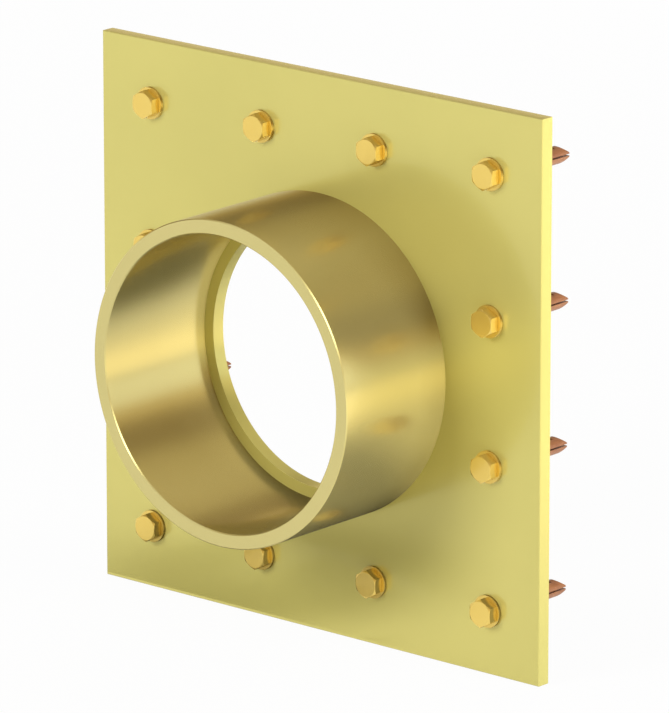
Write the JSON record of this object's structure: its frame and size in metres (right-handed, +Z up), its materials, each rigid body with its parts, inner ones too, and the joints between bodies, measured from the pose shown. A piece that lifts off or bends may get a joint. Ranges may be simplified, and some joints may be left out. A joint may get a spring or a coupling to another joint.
{
  "type": "flanged wall sleeve pipe",
  "caption": "Short steel wall sleeve on a square bolt-on flange plate, with hexagon bolts, washers and wall plugs, for leading a pipe through a wall.",
  "frame": {"origin": "centre of the flange plate's back face, which lies on the wall, on the axis of the sleeve", "axes": "+Y into the wall, along the sleeve's axis, so the sleeve stands out towards -Y; +Z up; +X to the right for someone facing the wall"},
  "size_m": [0.38, 0.171, 0.38],
  "materials": {
    "plated_steel": "pale yellow zinc plating, softly glossy",
    "plated_fixings": "bright yellow zinc plating, glossy",
    "brown_plastic": "moulded brown plastic"
  },
  "bodies": {
    "root": {"flange_plate": "plated_steel", "sleeve_pipe": "plated_steel", "hex_bolts": "plated_fixings", "washers": "plated_fixings", "wall_plugs": "brown_plastic"}
  },
  "joints": []
}
